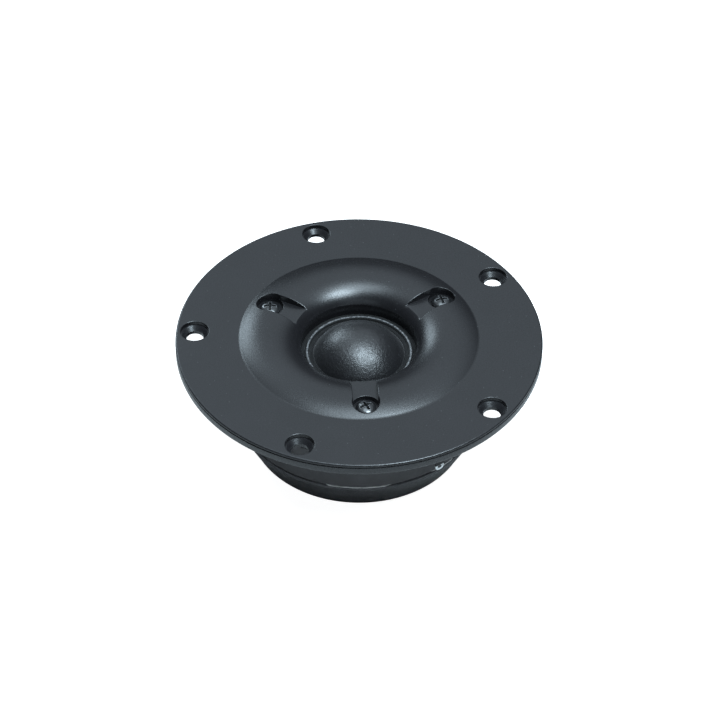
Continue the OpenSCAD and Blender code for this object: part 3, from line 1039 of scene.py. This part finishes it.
def screw_mesh():
    """One screw on its own axis: pan head with a cross recess, and a threaded shank."""
    _, tip, head_z = extent("faceplate_screws")
    crown, drop, head_r, seat = 2.1, 0.5, 2.9, 2.1
    arm, half, depth, wall = 1.8, 0.4, 1.3, 0.16
    shank, root, thread_top, pitch = 1.48, 1.22, -5.0, 0.5

    def cross_distance(x, y):
        """Distance inside the cross, positive inside its arms."""
        a, b = abs(x + y) / math.sqrt(2), abs(x - y) / math.sqrt(2)
        return max(min(half - a, arm - b), min(half - b, arm - a), 0.62 - (a + b) * 0.72)

    def height(x, y):
        r, d = math.hypot(x, y), cross_distance(x, y)
        z = head_z - drop * (r / crown) ** 2
        if d <= 0:
            return z
        centre = depth * (1 - 0.45 * min(1.0, r / arm))
        return z - centre * min(1.0, d / wall) - 0.05 * min(1.0, d / 0.05)

    loops = [circle(crown, 96)]
    c = math.sqrt(0.5)
    for inset in (-0.06, 0.0, 0.05, wall):
        w, reach = half - inset, arm - inset
        outline = [(w, w), (w, reach), (-w, reach), (-w, w), (-reach, w), (-reach, -w),
                   (-w, -w), (-w, -reach), (w, -reach), (w, -w), (reach, -w), (reach, w)]
        loops.append([((x + y) * c, (x - y) * c) for x, y in outline])
    points = [p for r in [0.15 + 0.13 * i for i in range(15)] for p in circle(r, 48)]
    sheet = Sheet()
    sheet.lift(*triangulate(loops, [], points), height, lambda x, y: math.hypot(x, y) < crown)
    side = [(crown, head_z - drop), (2.35, head_z - 0.64), (2.6, head_z - 0.82),
            (2.78, head_z - 1.0), (2.88, head_z - 1.18), (head_r, head_z - 1.35),
            (2.88, seat + 0.1), (2.8, seat), (1.6, seat), (shank, seat - 0.15),
            (shank, thread_top + 0.2)]
    z = thread_top
    while z > tip + 0.9:
        side += [(root, z), (root, z - 0.08), (shank, z - 0.22), (shank, z - 0.28)]
        z -= pitch
    sheet.strip([*side, (1.15, tip + 0.3), (0.9, tip)], 96)
    fan = [(0, i + 1, (i + 1) % 96 + 1) for i in range(96)]
    sheet.lift([(0.0, 0.0), *circle(0.9, 96)], fan, lambda x, y: tip, lambda x, y: True)
    mesh = sheet.mesh("screw_shape", 40)
    spots = [v.co / MM for v in mesh.vertices]
    # Marks the cross recess, which the finish fills with painted shade.
    paint(mesh, "recess", [float(p.z > 0 and cross_distance(p.x, p.y) > 0.03) for p in spots])
    return mesh


class TWEETER_OT_screws(Builder, bpy.types.Operator):
    """Sets the faceplate's screws in their pockets"""

    bl_idname = "tweeter.screws"
    bl_label = "Faceplate screws"

    def build(self, scene):
        radius = scene.tweeter_faceplate.screw_circle
        for i, turn in enumerate((0.5, 1.25, -0.35)):
            name, mesh = f"faceplate_screw_{i + 1}", screw_mesh()
            mesh.transform(Matrix.Rotation(turn, 4, "Z"))
            start = TAU * i / SCREW_COUNT
            mesh = grow(name, mesh, "round_pattern", 40, Count=1, Radius=radius, Start=start)
            paint_edges(mesh)
            place(name, mesh, "black_screw", ["faceplate_screws"])


# ---------------------------------------------------------------- diaphragm


class TWEETER_OT_dome(Builder, bpy.types.Operator):
    """Presses the cloth dome"""

    bl_idname = "tweeter.dome"
    bl_label = "Dome"

    def build(self, scene):
        edge, foot, top = extent("dome")
        cloth = scene.tweeter_diaphragm.cloth / MM
        base, rise, bore = edge - 0.2, top - DOME_FOOT, 12.83
        ball = (base * base + rise * rise) / (2 * rise)
        open_angle = math.degrees(math.asin(base / ball))
        centre = (0, top - ball)
        outer = arc(centre, ball, ball, 90, 90 - open_angle, 48)
        inner = arc(centre, ball - cloth, ball - cloth, 90 - open_angle, 90, 32)
        hem = [(edge - 0.08, DOME_FOOT + 0.02), (edge, DOME_FOOT - 0.08), (edge, foot + 0.06),
               (edge - 0.06, foot), (bore, foot), (bore, DOME_FOOT - cloth)]
        mesh = turned("cloth_dome", outer + hem + inner, 192, closed=False)
        place("cloth_dome", mesh, "dome_cloth", ["dome"], DIAPHRAGM)


class TWEETER_OT_surround(Builder, bpy.types.Operator):
    """Rolls the surround between the dome and its seat"""

    bl_idname = "tweeter.surround"
    bl_label = "Surround"

    def build(self, scene):
        s, seat, foot = scene.tweeter_diaphragm, SEAT_HEIGHT, DOME_FOOT
        cloth, roll = s.cloth / MM, s.roll / MM
        inner_r, outer_r, rim = extent("dome")[0] + 0.03, 15.88, extent("surround")[0]
        mid, half = 14.8, 0.65
        seam = arc((inner_r + 0.25, foot), 0.17, 0.14, 180, 0, 8)
        over = arc((mid, foot), half, roll, 176, 4, 20)
        under = arc((mid, foot - cloth), half - 0.25, roll, 0, 180, 20)
        flat = [(outer_r, seat), (rim, seat), (rim, seat - cloth), (outer_r, seat - cloth),
                (mid + half, foot - cloth)]
        start = [(inner_r, foot - cloth), (inner_r, foot), *seam, (inner_r + 0.7, foot - 0.03)]
        mesh = turned("roll_surround", [*start, *over, *flat, *under], 192)
        obj = place("roll_surround", mesh, "surround_cloth", ["surround"], None)
        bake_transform(obj)
        # Mask of the roll's crest: the finish paints a highlight along it and darkens the cloth away from
        # it.
        crest = [
            max(0.0, 1 - abs(math.hypot(v.co.x, v.co.y) / MM - mid) / 0.32) * (v.co.z / MM > foot)
            for v in obj.data.vertices
        ]
        paint(obj.data, "roll", [min(1.0, 2 * c) for c in crest])


class TWEETER_OT_coil(Builder, bpy.types.Operator):
    """Winds the voice coil and finishes its former and collar"""

    bl_idname = "tweeter.coil"
    bl_label = "Voice coil"

    def build(self, scene):
        low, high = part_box("voice_coil")
        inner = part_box("coil_former")[1].x
        turns = scene.tweeter_diaphragm.turns
        wire = (high.z - low.z) / (turns + 1) / 2
        for layer in (0, 1):
            name = f"coil_winding_{layer + 1}"
            mesh = grow(
                name, None, "winding", 60, Turns=float(turns), Radius=inner + wire * (1.02 + 1.9 * layer),
                Height=high.z - low.z - 2 * wire, Foot=low.z + wire, Wire=wire * 0.97,
            )
            place(name, mesh, "copper_wire", ["voice_coil"], DIAPHRAGM)
        dress(frame["nodes"]["coil_former"], "former_foil")
        dress(frame["nodes"]["former_collar"], "collar_paper")


# ---------------------------------------------------------------- carrier and terminals


class TWEETER_OT_carrier(Builder, bpy.types.Operator):
    """Finishes the diaphragm carrier and its gasket"""

    bl_idname = "tweeter.carrier"
    bl_label = "Carrier"

    def build(self, scene):
        mesh = bevelled_copy("diaphragm_carrier", 0.12 * MM)
        place("carrier_ring", mesh, "carrier_plastic", ["diaphragm_carrier"])
        dress(frame["nodes"]["carrier_gasket"], "gasket_rubber")


def tag_mesh(node, direction):
    """A tag stamped from sheet: flat foot, bent corner and a blade with a round end and an eye."""
    low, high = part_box(node)
    top, tip, half = high.z / MM, low.z / MM, (high.x - low.x) / MM / 2
    outer, inner = (pick(abs(low.y), abs(high.y)) / MM for pick in (max, min))
    thick, bend, corner, rivet_r, eye_r = 0.5, 0.55, 0.25, 0.8, 0.7
    mid_r = bend - thick / 2
    foot_len = outer - inner - bend
    arc_len = mid_r * math.pi / 2
    total = foot_len + arc_len + (top - tip - bend)
    rivet, eye = (37.8 - inner, 0), (total - half, 0)
    outline = [(corner, half), *arc(eye, half, half, 90, -90, 28), (corner, -half),
               (0, -half + corner), (0, half - corner)]
    loops = [refined(outline, 0.35), circle(rivet_r, 28, rivet), circle(eye_r, 32, eye)]
    bend_at = [foot_len + arc_len * k / 6 for k in range(7)]
    flat, faces = triangulate(loops, [[(x, -half), (x, half)] for x in bend_at])

    def inside(x, y):
        if x > eye[0] and math.dist((x, y), eye) > half or x + (half - abs(y)) < corner:
            return False
        return math.dist((x, y), rivet) > rivet_r and math.dist((x, y), eye) > eye_r

    def folded(s, v, t):
        """A point of the strip: s along, v across, t up through the sheet."""
        rise = t - thick / 2
        if s <= foot_len:
            r, z = inner + s, top - thick / 2 + rise
        elif s <= foot_len + arc_len:
            a = (s - foot_len) / mid_r
            r = inner + foot_len + (mid_r + rise) * math.sin(a)
            z = top - bend + (mid_r + rise) * math.cos(a)
        else:
            r = inner + foot_len + mid_r + rise
            z = top - bend - (s - foot_len - arc_len)
        return Vector((v * direction, r * direction, z)) * MM

    kept = [face for face in faces if inside(*middle_of(flat, face))]
    bm = bmesh.new()
    under, over = [[bm.verts.new(folded(x, y, t)) for x, y in flat] for t in (0.0, thick)]
    sides = {}
    for f in kept:
        bm.faces.new([over[i] for i in f])
        bm.faces.new([under[i] for i in reversed(f)])
        sides.update(((f[k], f[(k + 1) % 3]), True) for k in range(3))
    for a, b in sides:
        if (b, a) not in sides:
            bm.faces.new([over[b], over[a], under[a], under[b]])
    drop_stray_points(bm)
    bmesh.ops.recalc_face_normals(bm, faces=bm.faces)
    bmesh.ops.dissolve_limit(bm, angle_limit=math.radians(0.5), verts=bm.verts, edges=bm.edges)
    round_edges(bm, 0.06 * MM, 50)
    mesh = bpy.data.meshes.new(node + "_shape")
    bm.to_mesh(mesh)
    bm.free()
    soften(mesh)
    # Height over the eye, which the finish turns into painted shade on the tag's upper part.
    eye_z = tip + half
    paint(mesh, "above_eye", [v.co.z / MM - eye_z for v in mesh.vertices])
    return mesh


class TWEETER_OT_terminals(Builder, bpy.types.Operator):
    """Stamps the solder tags and sets their rivets and solder"""

    bl_idname = "tweeter.terminals"
    bl_label = "Terminals"

    def build(self, scene):
        for name, direction in (("terminal_positive", 1), ("terminal_negative", -1)):
            place(name + "_tag", tag_mesh(name, direction), "tinned_tag", [name])
        _, foot, top = extent("terminal_rivets")
        rim = 1.35
        eyelet = [(0.4, foot), (0.55, foot), (1.1, foot), (rim, foot + 0.14), (rim, foot + 0.24),
                  (1.2, foot + 0.34), (0.8, foot + 0.35), (0.8, top - 0.35), (1.2, top - 0.34),
                  (rim, top - 0.24), (rim, top - 0.14), (1.1, top - 0.02), (0.75, top),
                  (0.5, top - 0.06), (0.4, top - 0.25)]
        self.pair("tag_rivets", turned("eyelet", eyelet, 40), "tinned_tag", "terminal_rivets", rim, 38)
        _, foot, top = extent("solder_joints")
        wide = 0.55
        blob = [(0, top), (0.2, top - 0.02), (0.38, top - 0.13), (0.48, top - 0.3),
                (wide, foot + 0.01), (0.5, foot), (0, foot)]
        mesh = turned("blob", blob, 24, closed=False)
        self.pair("solder_blobs", mesh, "solder", "solder_joints", wide, 60)

    def pair(self, name, mesh, slot, node, wide, sharp_degrees):
        """Sets a small part on both terminals: wide is its own radius."""
        radius = (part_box(node)[1].y / MM - wide) * MM
        pattern = {"Count": 2, "Radius": radius, "Start": math.pi / 2}
        place(name, grow(name, mesh, "round_pattern", sharp_degrees, **pattern), slot, [node])


class TWEETER_OT_lead_outs(Builder, bpy.types.Operator):
    """Lays the two lead-outs from the winding to the tags"""

    bl_idname = "tweeter.lead_outs"
    bl_label = "Lead-outs"

    route = [(13.25, -4.2), (14.2, -3.95), (15.4, -3.8), (17, -3.75), (22, -3.75), (28, -3.75),
             (32, -3.75), (33.4, -3.45), (34.2, -2.6), (34.7, -2.22), (35.15, -2.205)]

    def build(self, scene):
        for name, side in (("lead_out_positive", 1), ("lead_out_negative", -1)):
            curve = bpy.data.curves.new(name, "CURVE")
            curve.dimensions = "3D"
            curve.bevel_depth = 0.18 * MM
            curve.bevel_resolution = 2
            curve.use_fill_caps = True
            line = curve.splines.new("NURBS")
            line.points.add(len(self.route) - 1)
            for point, (r, z) in zip(line.points, self.route):
                point.co = (0, side * r * MM, z * MM, 1)
            line.use_endpoint_u = True
            line.resolution_u = 6
            mesh = plain_mesh(name, link(name + "_seed", curve))
            soften(mesh, 60, 0.002 * MM)
            obj = place(name, mesh, "copper_wire", ["lead_out_wires"], None)
            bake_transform(obj)


# ---------------------------------------------------------------- motor and rear


class TWEETER_OT_motor(Builder, bpy.types.Operator):
    """Builds the magnet and the plates, and finishes the pole and its cap"""

    bl_idname = "tweeter.motor"
    bl_label = "Motor"

    def build(self, scene):
        r, z0, z1 = extent("magnet")
        bore, chamfer = 16, 0.4
        block = [(bore, z0), (r - chamfer, z0), (r, z0 + chamfer), (r, z1 - chamfer),
                 (r - chamfer, z1), (bore, z1)]
        mesh = turned("ring_magnet", rounded(block, 0.12))
        chip_edges(mesh, r * MM, z0 * MM, z1 * MM)
        place("ring_magnet", mesh, "ferrite", ["magnet"])
        mesh = bevelled_copy("top_plate", 0.15 * MM)
        place("threaded_top_plate", mesh, "plated_steel", ["top_plate"])
        r, z0, z1 = extent("back_plate")
        bore = 8
        mesh = turned("turned_back_plate", rounded([(bore, z0), (r, z0), (r, z1), (bore, z1)], 0.3), 160)
        place("turned_back_plate", mesh, "plated_steel", ["back_plate"])
        dress(frame["nodes"]["pole_piece"], "bright_steel")
        dress(frame["nodes"]["copper_cap"], "copper_sheet")


def chip_edges(mesh, radius, low, high):
    """Small chips and dents along the outer edges of brittle ferrite, always inwards."""
    for v in mesh.vertices:
        r = math.hypot(v.co.x, v.co.y)
        near = min(abs(v.co.z - low), abs(v.co.z - high))
        if r < radius - 0.6 * MM or near > 0.7 * MM:
            continue
        depth = max(0.0, noise.noise(v.co / (2.1 * MM)) - 0.25) * 0.35 * MM
        v.co.x *= 1 - depth / r
        v.co.y *= 1 - depth / r


class TWEETER_OT_glue_bead(Builder, bpy.types.Operator):
    """Runs the uneven bead of glue round the joint between magnet and cup"""

    bl_idname = "tweeter.glue_bead"
    bl_label = "Glue bead"

    def build(self, scene):
        low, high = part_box("glue_bead")
        mesh = grow(
            "seam_glue", None, "glue_bead", 60, Radius=high.x - 0.28 * MM,
            Height=(low.z + high.z) / 2, Thickness=0.25 * MM, Gaps=0.5,
        )
        mesh.transform(Matrix.Rotation(math.radians(-38), 4, "Z"))
        place("seam_glue", mesh, "glue", ["glue_bead"])


class TWEETER_OT_rear_cup(Builder, bpy.types.Operator):
    """Moulds the rear cup"""

    bl_idname = "tweeter.rear_cup"
    bl_label = "Rear cup"

    def build(self, scene):
        r, foot, top = extent("rear_cup")
        lip, base, wall = top - 1.2, 31.5, 1.9
        step, floor = foot + 0.6, foot + 2.0
        slope = (r - base) / (lip - step)
        inside = [(0, floor), (r - wall - slope * (lip - floor), floor), (r - wall, lip)]
        outside = [(r - wall, top), (r - 0.4, top), (r, top - 0.4), (r, lip)]
        outside += arc((base - 0.6, step), 0.6, 0.6, 0, -90, 8)
        under = [(27.5, foot), (27.0, step), (24.2, step), (24.0, step + 0.25), (23.4, step + 0.25),
                 (23.2, step), (9.2, step), (9.0, step + 0.3), (0, step + 0.3)]
        mesh = turned("tapered_rear_cup", rounded_open(inside + outside + under, 0.14), closed=False)
        paint_edges(mesh)
        place("tapered_rear_cup", mesh, "cup_plastic", ["rear_cup"])


class TWEETER_OT_felts(Builder, bpy.types.Operator):
    """Cuts the two damping felts"""

    bl_idname = "tweeter.felts"
    bl_label = "Felts"

    def build(self, scene):
        round_r, steps = 0.3, 14
        for node, name, bore in (
            ("pole_felt", "pole_damping_felt", 4.2),
            ("chamber_felt", "chamber_damping_felt", 0),
        ):
            r, z0, z1 = extent(node)
            r, z1 = r - 0.1, z1 - 0.1
            edge = arc((r - round_r, z1 - round_r), round_r, round_r, 90, 0, 4)
            top = [(bore + (r - round_r - bore) * i / steps, z1) for i in range(steps)]
            outline = [*top, *edge, (r, z0 + 0.2), (r - 0.2, z0), (bore, z0)]
            mesh = turned(name, outline, 120, closed=bore > 0)
            for v in mesh.vertices:
                if v.co.z > (z0 + 0.3) * MM:
                    v.co.z += (noise.noise(v.co / (1.8 * MM)) - 0.4) * 0.16 * MM
            place(name, mesh, "grey_felt", [node])


# ---------------------------------------------------------------- stage


def facing(azimuth, elevation):
    """Unit vector from the object towards a viewer at this azimuth and elevation."""
    level = math.cos(elevation)
    return Vector((math.sin(azimuth) * level, -math.cos(azimuth) * level, math.sin(elevation)))


def aim(obj, location, turn):
    """Puts a lamp or a camera in its place."""
    obj.location = location
    obj.rotation_mode = "QUATERNION"
    obj.rotation_quaternion = turn
    return obj


class TWEETER_OT_stage(Builder, bpy.types.Operator):
    """Sets the floor, the lights and the camera"""

    bl_idname = "tweeter.stage"
    bl_label = "Stage"

    light_distance = 0.9
    light_tint = (0.8, 0.98, 1.1)
    lights = {
        "front_softbox": (0, 28, (0.95, 0.3), 0.65),
        "top_softbox": (49, 65, (0.36, 0.36), 10.3),
        "zenith_softbox": (0, 86, (0.44, 0.44), 3.7),
        "left_rear_softbox": (215, 27, (0.3, 0.34), 2.1),
    }
    sky_colour = (0.84, 0.98, 1.09, 1)
    sky_lean = 70
    aim_down, aim_right, roll = 0.505, 0.023, 0.62

    def build(self, scene):
        scene.view_settings.view_transform = "Standard"
        self.floor(CAD_BOX[0].z, 3.0)
        self.sky(scene, scene.tweeter_stage.azimuth)
        self.lamps(scene.tweeter_stage.azimuth)
        self.camera(scene, scene.tweeter_stage)

    def floor(self, z, half):
        """White paper to the camera, grey to the light that bounces off it."""
        mesh = bpy.data.meshes.new("floor")
        corners = [(-half, -half, z), (half, -half, z), (half, half, z), (-half, half, z)]
        mesh.from_pydata(corners, [], [(0, 1, 2, 3)])
        paper = Finish("floor_paper", (0.5, 0.49, 0.48), Roughness=0.9, Specular_IOR_Level=0.1)
        seen = paper.node("ShaderNodeLightPath").outputs["Is Camera Ray"]
        paper.set(Emission_Color=(1, 1, 1, 1), Emission_Strength=paper.times(seen, 0.95))
        mesh.materials.append(paper.material)
        link("floor", mesh)

    def sky(self, scene, azimuth):
        """A dim sky that is brightest high up behind the object."""
        scene.world = world = scene.world or bpy.data.worlds.new("studio")
        world.use_nodes = True
        w = Wires(world.node_tree)
        along = w.node("ShaderNodeVectorMath", {"operation": "DOT_PRODUCT"})
        w.feed(along.inputs[0], w.coordinates("Generated"))
        w.feed(along.inputs[1], facing(azimuth + math.pi, math.radians(self.sky_lean)))
        background = world.node_tree.nodes["Background"]
        background.inputs["Color"].default_value = self.sky_colour
        level = w.ramp(along.outputs["Value"], 0.62, 0.88, 0.05, 1.12)
        w.feed(background.inputs["Strength"], level)

    def lamps(self, azimuth):
        for name, (turn, lift, size, energy) in self.lights.items():
            data = bpy.data.lights.new(name, "AREA")
            data.shape = "RECTANGLE"
            data.size, data.size_y = size
            data.energy = energy
            data.color = self.light_tint
            way = facing(azimuth + math.radians(turn), math.radians(lift)) * self.light_distance
            aim(link(name, data), way, (-way).to_track_quat("-Z", "Y"))

    def camera(self, scene, s):
        data = bpy.data.cameras.new("camera")
        data.lens = s.lens
        data.sensor_width = 36
        data.clip_start, data.clip_end = 0.01, 20
        back = facing(s.azimuth, s.elevation)
        turn = (-back).to_track_quat("-Z", "Y")
        for axis, degrees in (((1, 0, 0), -self.aim_down), ((0, 1, 0), -self.aim_right),
                              ((0, 0, 1), self.roll)):
            turn = turn @ Quaternion(axis, math.radians(degrees))
        middle = Vector((0, 0, CREST_HEIGHT * MM - scene.tweeter_faceplate.ring_height))
        scene.camera = aim(link("camera", data), middle + back * s.distance, turn)


# ---------------------------------------------------------------- panel and registration


SETTINGS = {
    "tweeter_faceplate": TWEETER_PG_faceplate,
    "tweeter_diaphragm": TWEETER_PG_diaphragm,
    "tweeter_finish": TWEETER_PG_finish,
    "tweeter_stage": TWEETER_PG_stage,
}
OPERATORS = [
    TWEETER_OT_stage, TWEETER_OT_faceplate, TWEETER_OT_screws, TWEETER_OT_dome,
    TWEETER_OT_surround, TWEETER_OT_coil, TWEETER_OT_carrier, TWEETER_OT_terminals,
    TWEETER_OT_lead_outs, TWEETER_OT_motor, TWEETER_OT_glue_bead, TWEETER_OT_rear_cup,
    TWEETER_OT_felts,
]


class TWEETER_PT_panel(bpy.types.Panel):
    """Lists the tweeter's pieces and sizes"""

    bl_idname = "TWEETER_PT_panel"
    bl_label = "Dome tweeter"
    bl_space_type = "VIEW_3D"
    bl_region_type = "UI"
    bl_category = "Tweeter"

    def draw(self, context):
        for operator in OPERATORS:
            self.layout.operator(operator.bl_idname)
        for group in SETTINGS:
            box = self.layout.box()
            settings = getattr(context.scene, group)
            for key in settings.__annotations__:
                box.prop(settings, key)


def register():
    for cls in [*SETTINGS.values(), *OPERATORS, TWEETER_PT_panel]:
        bpy.utils.register_class(cls)
    for name, cls in SETTINGS.items():
        setattr(bpy.types.Scene, name, bpy.props.PointerProperty(type=cls))


def unregister():
    for name in SETTINGS:
        delattr(bpy.types.Scene, name)
    for cls in reversed([*SETTINGS.values(), *OPERATORS, TWEETER_PT_panel]):
        bpy.utils.unregister_class(cls)


BUILD_ORDER = ["stage", "faceplate", "screws", "dome", "surround", "coil", "carrier", "terminals",
               "lead_outs", "motor", "glue_bead", "rear_cup", "felts"]


def main():
    register()
    for name in BUILD_ORDER:
        getattr(bpy.ops.tweeter, name)()


if __name__ == "__main__":
    main()
